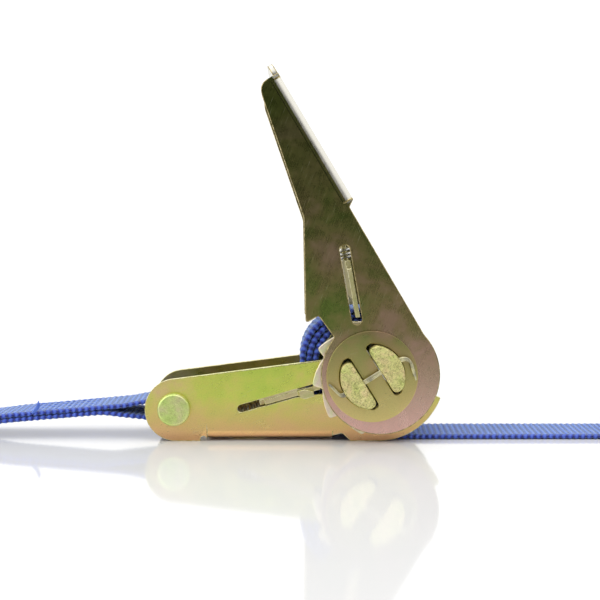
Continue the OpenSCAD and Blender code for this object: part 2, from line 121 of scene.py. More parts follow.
# ---- Shader building ----
class Shader:
    """A node material with short calls for the nodes used here."""

    def __init__(self, name):
        self.material = bpy.data.materials.new(name)
        self.material.use_nodes = True
        self.tree = self.material.node_tree
        self.surface = self.tree.nodes["Principled BSDF"]

    def node(self, kind, **settings):
        made = self.tree.nodes.new(kind)
        for key, value in settings.items():
            setattr(made, key, value)
        return made

    def put(self, socket, value):
        if isinstance(value, bpy.types.NodeSocket):
            self.tree.links.new(value, socket)
        else:
            socket.default_value = value

    def coordinates(self, scale=(1, 1, 1), turn=(0, 0, 0)):
        """Object coordinates in millimetres, turned by degrees and then scaled."""
        source = self.node("ShaderNodeTexCoord")
        turning = self.node("ShaderNodeMapping")
        turning.inputs["Rotation"].default_value = [math.radians(t) for t in turn]
        self.put(turning.inputs["Vector"], source.outputs["Object"])
        scaling = self.node("ShaderNodeMapping")
        scaling.inputs["Scale"].default_value = [MM_PER_METRE * s for s in scale]
        self.put(scaling.inputs["Vector"], turning.outputs["Vector"])
        return scaling.outputs["Vector"]

    def split(self, vector):
        """The X, Y and Z of a vector, as outputs by name."""
        made = self.node("ShaderNodeSeparateXYZ")
        self.put(made.inputs[0], vector)
        return made.outputs

    def noise(self, vector, scale, detail=2.0, roughness=0.5, distortion=0.0):
        made = self.node("ShaderNodeTexNoise")
        self.put(made.inputs["Vector"], vector)
        made.inputs["Scale"].default_value = scale
        made.inputs["Detail"].default_value = detail
        made.inputs["Roughness"].default_value = roughness
        made.inputs["Distortion"].default_value = distortion
        return made.outputs["Fac"]

    def ramp(self, factor, *stops):
        """Colours along a factor; each stop is a position and a colour."""
        made = self.node("ShaderNodeValToRGB")
        self.put(made.inputs["Fac"], factor)
        band = made.color_ramp
        while len(band.elements) < len(stops):
            band.elements.new(0.5)
        for element, (position, colour) in zip(band.elements, stops):
            element.position = position
            element.color = colour
        return made.outputs["Color"]

    def spread(self, value, low, high, to_low=0.0, to_high=1.0):
        """A value's range from low to high as another range, held at its ends."""
        made = self.node("ShaderNodeMapRange")
        self.put(made.inputs["Value"], value)
        ends = {"From Min": low, "From Max": high, "To Min": to_low, "To Max": to_high}
        for key, number in ends.items():
            made.inputs[key].default_value = number
        return made.outputs["Result"]

    def maths(self, operation, a, b=0.0):
        made = self.node("ShaderNodeMath", operation=operation)
        self.put(made.inputs[0], a)
        self.put(made.inputs[1], b)
        return made.outputs[0]

    def mix(self, factor, a, b, blend="MIX"):
        made = self.node("ShaderNodeMix", data_type="RGBA", blend_type=blend)
        self.put(made.inputs[0], factor)
        self.put(made.inputs[6], a)
        self.put(made.inputs[7], b)
        return made.outputs[2]

    def distance_along(self, place, origin, degrees):
        """Millimetres from a point in X and Z along a direction, negative before it."""
        way = polar(1.0, degrees)
        made = self.node("ShaderNodeVectorMath", operation="DOT_PRODUCT")
        self.put(made.inputs[0], place)
        made.inputs[1].default_value = (way[0], 0.0, way[1])
        return self.maths("SUBTRACT", made.outputs["Value"], origin[0] * way[0] + origin[1] * way[1])

    def bump(self, height, strength, distance_mm, before=None):
        made = self.node("ShaderNodeBump")
        made.inputs["Strength"].default_value = strength
        made.inputs["Distance"].default_value = distance_mm * MM
        self.put(made.inputs["Height"], height)
        if before is not None:
            self.put(made.inputs["Normal"], before)
        return made.outputs["Normal"]

    def darken(self, colour, shade):
        """The colour times a shade of grey."""
        return self.mix(1.0, colour, self.ramp(shade, (0.0, grey(0.0)), (1.0, grey(1.0))), "MULTIPLY")

    def between(self, value, low, high, soft, amount=1.0):
        """A mask that is the amount between two values, with soft edges inside them, and 0 elsewhere."""
        rise = self.spread(value, low, low + soft, 0.0, amount)
        return self.maths("MULTIPLY", rise, self.spread(value, high, high - soft))

    def finish(self, colour, roughness, normal=None, **constants):
        self.put(self.surface.inputs["Base Color"], colour)
        self.put(self.surface.inputs["Roughness"], roughness)
        if normal is not None:
            self.put(self.surface.inputs["Normal"], normal)
        for key, value in constants.items():
            self.surface.inputs[key.replace("_", " ")].default_value = value
        return self.material


def grey(value):
    """A linear grey."""
    return (value, value, value, 1.0)


# the noise values between which the plate's colours change, and the width of a band's soft edges
DRIFT_RANGE = (0.36, 0.64)
SOFT_EDGE = 0.3


def zinc(
    name, colours, rough=(0.22, 0.4), patch=0.035, hammer=0.0, cracks=0.0,
    tints=(), inside=None, strip=None, turn=24,
):
    """Yellow zinc plate: drifting iridescent patches, fine grain and faint scratches.

    patch is the fineness of the drift, per millimetre, and turn the direction of the scratches in degrees.
    hammer and cracks are the strength of dents and of the dark lines of a crumpled surface.
    tints are (from Z, to Z, colour, share), each a tint that grows with height or depth.
    inside is (from |Y|, to |Y|, colour, share), painted shade on the inner faces of the cheeks.
    strip is (point in X and Z, direction in degrees, depth, colour), a band along an edge, in a light tint
    that is a painted highlight.
    """
    s = Shader(name)
    place = s.coordinates()
    drift = s.noise(place, patch, detail=3.0, distortion=0.8)
    mottle = s.noise(place, 0.22, detail=4.0, roughness=0.6)
    speck = s.noise(place, 2.6, detail=3.0, roughness=0.7)
    scratch = s.noise(s.coordinates(scale=(0.08, 1, 2.2), turn=(0, turn, 0)), 1.6, detail=4.0, roughness=0.65)
    mixed = s.maths("ADD", s.maths("MULTIPLY", drift, 0.72), s.maths("MULTIPLY", mottle, 0.28))
    low, high = DRIFT_RANGE
    stops = [
        (low + (high - low) * k / (len(colours) - 1), colour) for k, colour in enumerate(colours)
    ]
    colour = s.ramp(mixed, *stops)
    axes = s.split(place)
    for start, end, tint, amount in tints:
        colour = s.mix(s.spread(axes["Z"], start, end, 0.0, amount), colour, tint)
    # painted shade: the cheeks' inner faces darkened where the other cheek shades them
    if inside is not None:
        near, far, tint, amount = inside
        side = s.maths("ABSOLUTE", axes["Y"])
        colour = s.mix(s.between(side, near, far, SOFT_EDGE, amount), colour, tint)
    colour = s.darken(colour, s.spread(speck, 0.3, 0.7, 0.88, 1.08))
    worn = s.spread(scratch, 0.62, 0.75, 0.0, 0.35)
    colour = s.mix(worn, colour, linear(226, 222, 196))
    # painted highlight: a light band along a rounded bend, standing for its reflection of the bright
    # surroundings
    if strip is not None:
        origin, degrees, deep, tint = strip
        reach = s.distance_along(place, origin, degrees)
        depth = s.distance_along(place, origin, degrees + 90)
        band = s.maths("MULTIPLY", s.spread(depth, deep, deep - SOFT_EDGE), s.spread(reach, -0.5, 0.3))
        colour = s.mix(band, colour, tint)
    rough_value = s.maths(
        "ADD",
        s.spread(mottle, 0.3, 0.7, rough[0], rough[1]),
        s.spread(scratch, 0.4, 0.75, 0.0, 0.12),
    )
    normal = s.bump(speck, 0.08, 0.05)
    normal = s.bump(scratch, 0.05, 0.05, normal)
    if hammer:
        dents = s.noise(place, 0.9, detail=4.0, roughness=0.6, distortion=0.6)
        normal = s.bump(dents, hammer, 0.5, normal)
    if cracks:
        crumple = s.noise(place, 0.75, detail=5.0, roughness=0.62, distortion=1.2)
        off_line = s.maths("ABSOLUTE", s.maths("SUBTRACT", crumple, 0.5))
        line = s.spread(off_line, 0.0, 0.035, cracks, 0.0)
        colour = s.mix(line, colour, linear(96, 88, 44))
    return s.finish(colour, rough_value, normal, Metallic=1.0)


def bright_edge(name, tint, wear_highlight_tint, rough=0.22, bend_shade=None):
    """Rounded edges made brighter: wear from handling, and painted highlight along them.

    dull is (point in X and Z, direction in degrees, from depth, to depth, colour), a band of painted shade.
    """
    s = Shader(name)
    place = s.coordinates()
    wear_highlight_noise = s.noise(place, 0.6, detail=3.0)
    nick = s.noise(place, 3.0, detail=2.0)
    # the edge's colour, mixed by noise: wear from handling, and painted highlight along the rounded edge
    colour = s.mix(s.spread(wear_highlight_noise, 0.35, 0.65), linear(*tint), linear(*wear_highlight_tint))
    # painted shade: a dark band on the edge faces beside the grip's bend
    if bend_shade is not None:
        origin, degrees, shallow, deep, shade = bend_shade
        depth = s.distance_along(place, origin, degrees + 90)
        reach = s.distance_along(place, origin, degrees)
        band = s.maths("MULTIPLY", s.between(depth, shallow, deep, 0.2), s.spread(reach, 0.4, 1.0))
        colour = s.mix(band, colour, shade)
    normal = s.bump(nick, 0.15, 0.08)
    return s.finish(colour, s.spread(nick, 0.3, 0.7, rough, rough + 0.12), normal, Metallic=1.0)


def wire(name, tint, rough):
    """Drawn wire: faint rings across and a slight stain."""
    s = Shader(name)
    place = s.coordinates()
    stain = s.noise(place, 0.5, detail=3.0)
    line = s.noise(place, 5.0, detail=2.0)
    colour = s.mix(s.spread(stain, 0.35, 0.7), linear(*tint), linear(150, 146, 130))
    roughness = s.spread(line, 0.3, 0.7, rough, rough + 0.15)
    return s.finish(colour, roughness, s.bump(line, 0.12, 0.04), Metallic=1.0)


# the weave, in millimetres: ribs across the strap and yarns along it, and a braided edge outside SELVEDGE
RIB_PITCH = 1.85
RIB_SLANT = -0.06
YARN_PITCH = 0.7
BRAID_PITCH = 2.1
BRAID_LAG = 0.5
SELVEDGE = 10.9


def webbing(name):
    """Woven polyester from UVs in millimetres: diagonal ribs, yarns across them and braided selvedges."""
    s = Shader(name)
    axes = s.split(s.node("ShaderNodeTexCoord").outputs["UV"])
    along, across = axes["X"], axes["Y"]
    side = s.maths("ABSOLUTE", across)
    slanted = s.maths("ADD", along, s.maths("MULTIPLY", across, RIB_SLANT))
    ribs = s.maths("SINE", s.maths("MULTIPLY", slanted, 2 * math.pi / RIB_PITCH))
    yarns = s.maths("SINE", s.maths("MULTIPLY", across, 2 * math.pi / YARN_PITCH))
    fuzz = s.noise(s.coordinates(), 3.6, detail=3.0, roughness=0.7)
    patchy = s.noise(s.coordinates(), 0.12, detail=3.0)
    height = s.maths("ADD", s.maths("MULTIPLY", ribs, 0.6), s.maths("MULTIPLY", yarns, 0.22))
    height = s.maths("ADD", height, s.maths("MULTIPLY", fuzz, 0.5))
    # colour from the weave's height: painted shade in the hollows between ribs and painted highlight on their
    # tops
    colour = s.ramp(
        s.spread(height, -0.6, 1.0),
        (0.0, linear(10, 22, 96)), (0.35, linear(26, 58, 176)),
        (0.7, linear(52, 98, 222)), (1.0, linear(110, 156, 246)),
    )
    # the braided edge: a chain of links, with painted shade in the gap between them and painted highlight on
    # their tops
    lag = s.maths("MULTIPLY", s.maths("SUBTRACT", side, SELVEDGE), BRAID_LAG)
    links = s.maths("SINE", s.maths("MULTIPLY", s.maths("ADD", along, lag), 2 * math.pi / BRAID_PITCH))
    chain = s.ramp(
        s.spread(s.maths("ADD", links, s.maths("MULTIPLY", fuzz, 0.6)), -0.9, 1.0),
        (0.0, linear(10, 16, 84)), (0.3, linear(26, 44, 160)),
        (0.75, linear(52, 78, 204)), (1.0, linear(84, 116, 226)),
    )
    border = s.spread(side, SELVEDGE, SELVEDGE + 0.25)
    colour = s.mix(border, colour, chain)
    colour = s.darken(colour, s.spread(patchy, 0.3, 0.7, 0.85, 1.0))
    normal = s.bump(height, 0.8, 0.3)
    return s.finish(
        colour, s.spread(fuzz, 0.3, 0.7, 0.5, 0.7), normal,
        Sheen_Weight=1.0, Sheen_Roughness=0.4, Sheen_Tint=(0.66, 0.84, 1.0, 1.0),
    )


def thread(name):
    """Sewing thread with its twist."""
    s = Shader(name)
    ply = s.noise(s.coordinates(scale=(1, 1, 3)), 2.4, detail=2.0)
    colour = s.ramp(ply, (0.3, linear(52, 84, 196)), (0.7, linear(108, 148, 240)))
    return s.finish(colour, s.spread(ply, 0.3, 0.7, 0.45, 0.65), s.bump(ply, 0.5, 0.15), Sheen_Weight=0.3)


def rubber(name):
    """Black rubber with a pale bloom."""
    s = Shader(name)
    bloom = s.noise(s.coordinates(), 0.4, detail=4.0)
    grit = s.noise(s.coordinates(), 6.0, detail=2.0)
    colour = s.ramp(bloom, (0.35, linear(30, 30, 32)), (0.7, linear(62, 62, 64)))
    return s.finish(colour, s.spread(bloom, 0.3, 0.7, 0.55, 0.8), s.bump(grit, 0.3, 0.1))


FRAME_ZINC = zinc(
    "frame_zinc",
    [linear(216, 236, 106), linear(230, 236, 116), linear(240, 228, 136), linear(246, 214, 160)],
    # the first tint makes the lower plate pinker; the second darkens the bottom edge next to the floor, which
    # is painted shade
    tints=[(-7, -20, linear(252, 196, 150), 0.85), (-18.4, -20.6, linear(190, 140, 104), 0.3)],
    # painted shade darkening the inner faces of both cheeks
    inside=(12.8, 14.4, linear(150, 138, 84), 0.75),
)
HANDLE_ZINC = zinc(
    "handle_zinc",
    [linear(112, 130, 62), linear(132, 132, 76), linear(146, 132, 88), linear(164, 138, 112)],
    rough=(0.2, 0.34),
    patch=0.05,
    tints=[(22, 85, linear(78, 88, 38), 0.85), (16, -20, linear(255, 206, 196), 0.95)],
    # near-white band along the grip's bend: painted reflection of the bright surroundings
    strip=(GRIP_START, GRIP_EDGE, 2.6, linear(226, 223, 212)),
    turn=70,
)
WASHER_ZINC = zinc(
    "washer_zinc", [linear(138, 146, 84), linear(150, 140, 90), linear(166, 140, 110)],
    rough=(0.25, 0.4), patch=0.09, tints=[(14, -13, linear(248, 228, 150), 0.8)],
)
GEAR_ZINC = zinc(
    "gear_zinc", [linear(252, 244, 204), linear(250, 232, 212), linear(240, 246, 190)],
    rough=(0.28, 0.42), patch=0.12,
)
DRUM_ZINC = zinc(
    "drum_zinc",
    [linear(206, 212, 130), linear(226, 222, 150), linear(236, 216, 162)],
    rough=(0.28, 0.5), patch=0.2, hammer=1.6, cracks=0.75,
)
BOLT_ZINC = zinc(
    "bolt_zinc", [linear(204, 232, 130), linear(220, 236, 150), linear(232, 228, 172)],
    rough=(0.3, 0.45), patch=0.12, hammer=0.4, cracks=0.25,
)
PAWL_ZINC = zinc(
    "pawl_zinc", [linear(206, 204, 140), linear(222, 212, 160), linear(214, 196, 150)],
    rough=(0.28, 0.42), patch=0.1,
)
# materials of the bevel faces: partly real wear, partly painted highlight along the rounded edges
YELLOW_EDGE = bright_edge("worn_highlit_edge", (196, 190, 120), (240, 234, 196))
DARK_EDGE = bright_edge(
    "worn_highlit_handle_edge", (120, 108, 62), (206, 190, 140),
    # painted shade beside the near-white band along the grip's bend
    bend_shade=(GRIP_START, GRIP_EDGE, 2.2, 4.2, linear(70, 72, 40)),
)
TUBE_STEEL = wire("drawn_tube", (196, 196, 192), 0.3)
SPRING_WIRE = wire("spring_wire", (206, 204, 196), 0.22)
PIN_WIRE = wire("pin_wire", (222, 216, 172), 0.26)
WEBBING = webbing("blue_webbing")
THREAD = thread("blue_thread")
RUBBER = rubber("tie_rubber")


# ---- Making pieces ----
def add(name, mesh, material, body):
    """A piece of the visual from a mesh, on a body and with one material slot."""
    piece = bpy.data.objects.new(name, mesh)
    bpy.context.scene.collection.objects.link(piece)
    mesh.materials.append(material)
    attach(piece, body)
    return piece


def apply_modifiers(piece):
    """Turns a piece's modifiers into mesh."""
    ready = bpy.context.evaluated_depsgraph_get()
    mesh = bpy.data.meshes.new_from_object(piece.evaluated_get(ready))
    piece.modifiers.clear()
    piece.data = mesh


def keep_close(mesh, source, width):
    """Brings any corner that the rounding threw out back to the surface."""
    surface = BVHTree.FromPolygons(
        [vert.co for vert in source.vertices], [face.vertices[:] for face in source.polygons]
    )
    for vert in mesh.vertices:
        near, _, _, gap = surface.find_nearest(vert.co)
        if gap > 0.5 * width * MM:
            vert.co = near


# corners nearer than this are one, and faces turned less than this, in degrees, are one flat face
SAME_POINT = 0.004
SAME_FACE = 0.6
# edges turned more than this, in degrees, are rounded, with this many faces
SHARP_EDGE = 28
ROUND_FACES = 3


def soft_copy(node, name, material, edge_material, body, width):
    """A copy of a CAD node with its edges rounded by a width in millimetres, which stands for it."""
    source = frame["nodes"][node]
    mesh = source.data.copy()
    mesh.name = name
    mesh.materials.clear()
    cleaned = bmesh.new()
    cleaned.from_mesh(mesh)
    bmesh.ops.remove_doubles(cleaned, verts=cleaned.verts, dist=SAME_POINT * MM)
    bmesh.ops.dissolve_limit(
        cleaned, angle_limit=math.radians(SAME_FACE), verts=cleaned.verts, edges=cleaned.edges
    )
    cleaned.to_mesh(mesh)
    cleaned.free()
    for face in mesh.polygons:
        face.material_index = 0
    piece = add(name, mesh, material, body)
    mesh.materials.append(edge_material)
    rounding = piece.modifiers.new("rounding", "BEVEL")
    rounding.width = width * MM
    rounding.segments = ROUND_FACES
    rounding.limit_method = "ANGLE"
    rounding.angle_limit = math.radians(SHARP_EDGE)
    rounding.use_clamp_overlap = False
    rounding.material = 1
    rounding.miter_outer = "MITER_ARC"
    flat = piece.modifiers.new("triangles", "TRIANGULATE")
    flat.ngon_method = "BEAUTY"
    apply_modifiers(piece)
    keep_close(piece.data, source.data, width)
    piece.data.shade_smooth()
    weigh = piece.modifiers.new("flat_faces", "WEIGHTED_NORMAL")
    weigh.keep_sharp = True
    weigh.weight = 100
    apply_modifiers(piece)
    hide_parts(node)


def tube(name, points, radius, material, body, sides=12, taper=None):
    """A round wire along points in millimetres; taper gives each point's share of the radius."""
    curve = bpy.data.curves.new(name + "_line", "CURVE")
    curve.dimensions = "3D"
    curve.bevel_depth = radius * MM
    curve.bevel_resolution = max(1, sides // 4 - 1)
    curve.use_fill_caps = True
    spline = curve.splines.new("POLY")
    spline.points.add(len(points) - 1)
    for index, point in enumerate(points):
        spline.points[index].co = (*[c * MM for c in point], 1.0)
        spline.points[index].radius = taper[index] if taper else 1.0
    line = bpy.data.objects.new(name + "_line", curve)
    bpy.context.scene.collection.objects.link(line)
    ready = bpy.context.evaluated_depsgraph_get()
    mesh = bpy.data.meshes.new_from_object(line.evaluated_get(ready))
    mesh.name = name
    bpy.data.objects.remove(line)
    bpy.data.curves.remove(curve)
    mesh.materials.clear()
    mesh.shade_smooth()
    return add(name, mesh, material, body)


def join(pieces):
    """Joins several pieces with one material into the first."""
    merged = bmesh.new()
    for piece in pieces:
        merged.from_mesh(piece.data)
    merged.to_mesh(pieces[0].data)
    merged.free()
    for piece in pieces[1:]:
        bpy.data.objects.remove(piece)
    pieces[0].data.shade_smooth()
    return pieces[0]


# ---- Webbing ----
# steps along a strap: where its ribs stand up in the mesh, where its path is laid out, and on the roll
STRAP_STEP = 0.35
PATH_STEP = 0.7
ROLL_STEP = 0.7
RIB_HEIGHT = 0.1
# the gaps between the braid's links: millimetres in from the side, and share of the thickness
BRAID_SIDE = 0.24
BRAID_THICK = 0.3
# how far the links at the very edge are shifted along the strap
EDGE_LEAD = 0.45
# places across the strap, and the share of its thickness that they stand at
ACROSS = [-12.35, -11.7, -10.9, -9, -7, -5, -3, -1, 1, 3, 5, 7, 9, 10.9, 11.7, 12.35]
FULLNESS = {12.35: 0.66, 11.7: 1.0, 10.9: 0.86}
BODY_FULLNESS = 0.84


def resample(points, step):
    """Points at even steps along a line of 2-D points, with each one's distance along it."""
    total = [0.0]
    for a, b in zip(points, points[1:]):
        total.append(total[-1] + math.dist(a, b))
    count = max(2, round(total[-1] / step))
    line, index = [], 0
    for k in range(count + 1):
        distance = total[-1] * k / count
        while index < len(total) - 2 and total[index + 1] < distance:
            index += 1
        share = (distance - total[index]) / max(total[index + 1] - total[index], 1e-9)
        a, b = points[index], points[index + 1]
        line.append((a[0] + (b[0] - a[0]) * share, a[1] + (b[1] - a[1]) * share))
    return line, total[-1]


def smooth(points, passes):
    """Rounds the corners of a line of evenly spaced points, keeping its ends."""
    for _ in range(passes):
        inner = [
            ((a[0] + 2 * b[0] + c[0]) / 4, (a[1] + 2 * b[1] + c[1]) / 4)
            for a, b, c in zip(points, points[1:], points[2:])
        ]
        points = [points[0], *inner, points[-1]]
    return points


def arc(centre, radius, start, end, step=4):
    """Points on an arc, with all angles in degrees."""
    count = max(2, round(abs(end - start) / step))
    return [polar(radius, start + (end - start) * k / count, centre) for k in range(count + 1)]


def strap(
    name, path, body, node, closed=False, sway=None, lean=None, step=STRAP_STEP,
    ribbed=1, puff=None,
):
    """A woven strap along a path in X and Z, with braided edges.

    sway and lean give the sideways shift in millimetres and the roll in degrees at a distance along it.
    puff gives the share of the usual thickness at a place in X and Z.
    ribbed is 1 where the ribs across the strap stand up in the mesh, and 0 where its material shows them.
    """
    line, length = resample(path, step)
    if closed:
        line = line[:-1]
    count = len(line)
    edge_y = STRAP_W / 2
    rows = [(y, 1) for y in ACROSS] + [(edge_y, 0)] + [(y, -1) for y in reversed(ACROSS)] + [(-edge_y, 0)]
    verts, uvs = [], []
    for index, (x, z) in enumerate(line):
        before = line[(index - 1) % count] if closed or index else line[index]
        after = line[(index + 1) % count] if closed or index < count - 1 else line[index]
        heading = Vector((after[0] - before[0], after[1] - before[1])).normalized()
        normal = Vector((-heading.y, heading.x))
        s = length * index / (count if closed else count - 1)
        shift = sway(s) if sway else 0.0
        roll = math.radians(lean(s)) if lean else 0.0
        thickness = STRAP_T * (puff(x, z) if puff else 1.0)
        for y, side in rows:
            edge = abs(y)
            braid = 1.0 if edge > SELVEDGE else 0.0
            lead = BRAID_LAG * (edge - SELVEDGE) + (0.0 if side else EDGE_LEAD)
            link = 0.5 + 0.5 * math.sin(2 * math.pi * (s + lead) / BRAID_PITCH)
            wave = math.sin(2 * math.pi * (s + RIB_SLANT * y) / RIB_PITCH)
            rib = ribbed * RIB_HEIGHT * (1 - braid) * wave
            full = FULLNESS.get(edge, BODY_FULLNESS) - BRAID_THICK * braid * (1 - link)
            thick = side * (thickness / 2 * full + rib)
            wide = y - math.copysign(BRAID_SIDE * braid * (1 - link), y)
            ry = wide * math.cos(roll) - thick * math.sin(roll)
            rn = wide * math.sin(roll) + thick * math.cos(roll)
            verts.append((MM * (x + normal.x * rn), MM * (ry + shift), MM * (z + normal.y * rn)))
            uvs.append((s, y))
    ring = len(rows)
    faces = []
    spans = count if closed else count - 1
    for index in range(spans):
        a, b = index * ring, (index + 1) % count * ring
        for k in range(ring):
            n = (k + 1) % ring
            faces.append((a + k, a + n, b + n, b + k))
    if not closed:
        faces.append(tuple(range(ring - 1, -1, -1)))
        faces.append(tuple((count - 1) * ring + k for k in range(ring)))
    mesh = bpy.data.meshes.new(name)
    mesh.from_pydata(verts, [], faces)
    layer = mesh.uv_layers.new(name="cloth")
    for face in mesh.polygons:
        values = [list(uvs[mesh.loops[i].vertex_index]) for i in face.loop_indices]
        # the face that closes the loop runs on past its end
        if closed and max(v[0] for v in values) - min(v[0] for v in values) > length / 2:
            values = [[v[0] + length if v[0] < length / 2 else v[0], v[1]] for v in values]
        for i, value in zip(face.loop_indices, values):
            layer.data[i].uv = value
    mesh.shade_smooth()
    fixed = bmesh.new()
    fixed.from_mesh(mesh)
    bmesh.ops.recalc_face_normals(fixed, faces=fixed.faces)
    fixed.to_mesh(mesh)
    fixed.free()
    piece = add(name, mesh, WEBBING, body)
    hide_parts(node)
    print(f"{name}: {length:.0f} mm of webbing")


def looseness(angle):
    """How loose the turns on the drum stand at an angle, from 0 to 1 at the top left."""
    away = abs((angle - LOOSE_ANGLE + 180) % 360 - 180)
    return 0.5 + 0.5 * math.cos(math.pi * min(away / LOOSE_SPAN, 1))


def lap_radius(angle):
    """The radius of the last turns' middle line at an angle; each earlier turn is a layer further in."""
    layers = sum(min(max((end - angle) / LAP_STEP_SPAN, 0), 1) for end in (LAP_STEP, LAP_STEP - 360))
    rise = (LOOSE_RISE - LOOSE_RISE_LOSS * layers) * looseness(angle)
    return LAP_R - STRAP_T / 2 - LAP_LAYER * layers + rise


def load_strap():
    """The last turns on the drum and the run along the floor."""
    middle = FLOOR + STRAP_T / 2
    lap = [polar(lap_radius(a), a) for a in LAP_ANGLES]
    run = [(x, middle) for x in range(0, int(ROLL_X) + 1, 4)]
    path, _ = resample(lap + run + [(ROLL_X, middle)], PATH_STEP)
    strap(
        "load_webbing", smooth(path, 3), "frame", "load_strap",
        puff=lambda x, z: 1 + LOOSE_PUFF * looseness(math.degrees(math.atan2(z, x))),
    )


def stored_roll():
    """The rest of the load strap, rolled up from the end of its run."""
    outer = ROLL_R - STRAP_T / 2
    turns = (ROLL_R - ROLL_CORE - STRAP_T) / ROLL_PITCH
    steps = round(turns * 60)
    centre = (ROLL_X, FLOOR + ROLL_R)
    coil = [
        polar(outer - ROLL_PITCH * turns * k / steps, -90 + 360 * turns * k / steps, centre)
        for k in range(steps + 1)
    ]
    strap(
        "rolled_webbing", coil, "frame", "strap_roll", step=ROLL_STEP, ribbed=0
    )


def wound_strap():
    """The webbing through the drum's slot and round it, which turns with the drum."""
    inner = DRUM_R + 0.9
    outer = WOUND_R - STRAP_T / 2 - 0.05
    slot = DRUM_TURN + 90
    steps = round(WOUND_TURNS * 72)
    through = [polar(r, slot + 180) for r in (10, 5, 0.1)] + [polar(r, slot) for r in (5, 9)]
    coil = [
        polar(inner + (outer - inner) * k / steps, slot - 12 - 360 * WOUND_TURNS * k / steps)
        for k in range(steps + 1)
    ]
    path, _ = resample(through + coil, PATH_STEP)
    strap("wound_layers", smooth(path, 4), "spool", "wound_webbing")


def anchor_strap():
    """The doubled strap: one closed loop round the bolt's sleeve and the end eye."""
    half = STRAP_T / 2
    eye = BOLT_EYE_R + half
    upper = [
        polar(eye, 96, BOLT), (-73.6, -9.2), (-81, -10.7), (MERGE[0], MERGE[1] + half + 0.1),
        (-98, -12.2), (SLOPE[0], SLOPE[1] + half), (-131, -15.6), (-142, -18.0),
        (LAND[0], LAND[1] + half), (SPLIT[0], SPLIT[1] + half), (-178, -16.8),
    ]
    far_eye = arc(END_EYE, END_EYE_R + half, 68, 292)
    lower = [
        (-178, -20.2), (SPLIT[0], SPLIT[1] - half), (LAND[0], LAND[1] - half),
        (-142, -19.65), (-131, -17.25), (SLOPE[0], SLOPE[1] - half), (-98, -13.85),
        (MERGE[0], MERGE[1] - half), (-81, -13.9), (-73.6, -14.6),
    ]
    bolt_eye = arc(BOLT, eye, -100, 88)
    path, _ = resample(upper + far_eye + lower + bolt_eye + [upper[0]], 0.8)
    strap(
        "anchor_webbing", smooth(path, 5), "frame", "anchor_strap",
        closed=True,
        sway=lambda s: 0.25 * math.sin(s / 31),
        lean=lambda s: 0.6 * math.sin(s / 47),
    )


wound_strap()
load_strap()
stored_roll()
anchor_strap()


# ---- Thread ----
STITCH_ROWS = 4
STITCH_HALF_WIDTH = 8.5
STITCH_PITCH = 2.6
STITCH_R = 0.16
# height of a stitch above the webbing at even steps along it: its ends go in
STITCH_LIFT = (-0.12, 0.02, 0.04, 0.02, -0.12)
TUFT_X = -111.2
TUFT_R = 0.4
TUFT_TIPS = [
    (2.3, -0.4, 4.1), (2.0, -0.5, 3.3), (2.7, -0.2, 3.5),
    (1.6, -0.4, 2.6), (2.5, -0.1, 2.7), (2.1, -0.6, 3.7),
]


def stitch(name, start, end, height):
    """One short raised thread between two places in X and Y, on a surface whose height depends on X."""
    points = []
    for k, lift in enumerate(STITCH_LIFT):
        x, y = [((4 - k) * p + k * q) / 4 for p, q in zip(start, end)]
        points.append((x, y, height(x) + lift))
    return tube(name, points, STITCH_R, THREAD, "frame", sides=8)


def stitches(name, x0, x1, height, node):
    """Box stitching: rows of single stitches along a strap from x0 to x1, and across it at both."""
    pieces = []

    def row(start, end, place):
        count = round((end - start) / STITCH_PITCH)
        for n in range(count):
            first = start + (end - start) * n / count
            last = first + (end - start) / count - 0.35
            pieces.append(stitch(f"{name}_{len(pieces)}", place(first + 0.15), place(last), height))

    for k in range(STITCH_ROWS):
        y = -STITCH_HALF_WIDTH + 2 * STITCH_HALF_WIDTH * k / (STITCH_ROWS - 1)
        row(x0, x1, lambda along, y=y: (along, y))
    for x in (x0, x1):
        row(-STITCH_HALF_WIDTH, STITCH_HALF_WIDTH, lambda across, x=x: (x, across))
    piece = join(pieces)
    piece.name = name
    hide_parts(node)


def upper_surface(x):
    """The top of the doubled anchor strap between MERGE and SLOPE."""
    slope = (SLOPE[1] - MERGE[1]) / (SLOPE[0] - MERGE[0])
    return MERGE[1] + slope * (x - MERGE[0]) + STRAP_T - 0.1


def loose_ends():
    """The sewing's cut thread ends, left standing at the near edge."""
    foot = Vector((TUFT_X, -12.0, upper_surface(TUFT_X) - 0.4))
    pieces = []
    for index, tip in enumerate(TUFT_TIPS):
        end = Vector(tip)
        points = [
            foot + end * t + Vector((0.55 * math.sin(math.pi * t), 0, 0)) for t in (0, 0.25, 0.5, 0.75, 1)
        ]
        pieces.append(tube(
            f"thread_end_{index}", points, TUFT_R, THREAD, "frame",
            sides=8, taper=[1, 1.1, 1, 0.8, 0.35],
        ))
    join(pieces)


stitches("box_stitching", -113, -91, upper_surface, "anchor_stitching")
stitches("eye_box_stitching", -166, -154.5, lambda x: SPLIT[1] + STRAP_T - 0.12, "eye_stitching")
loose_ends()


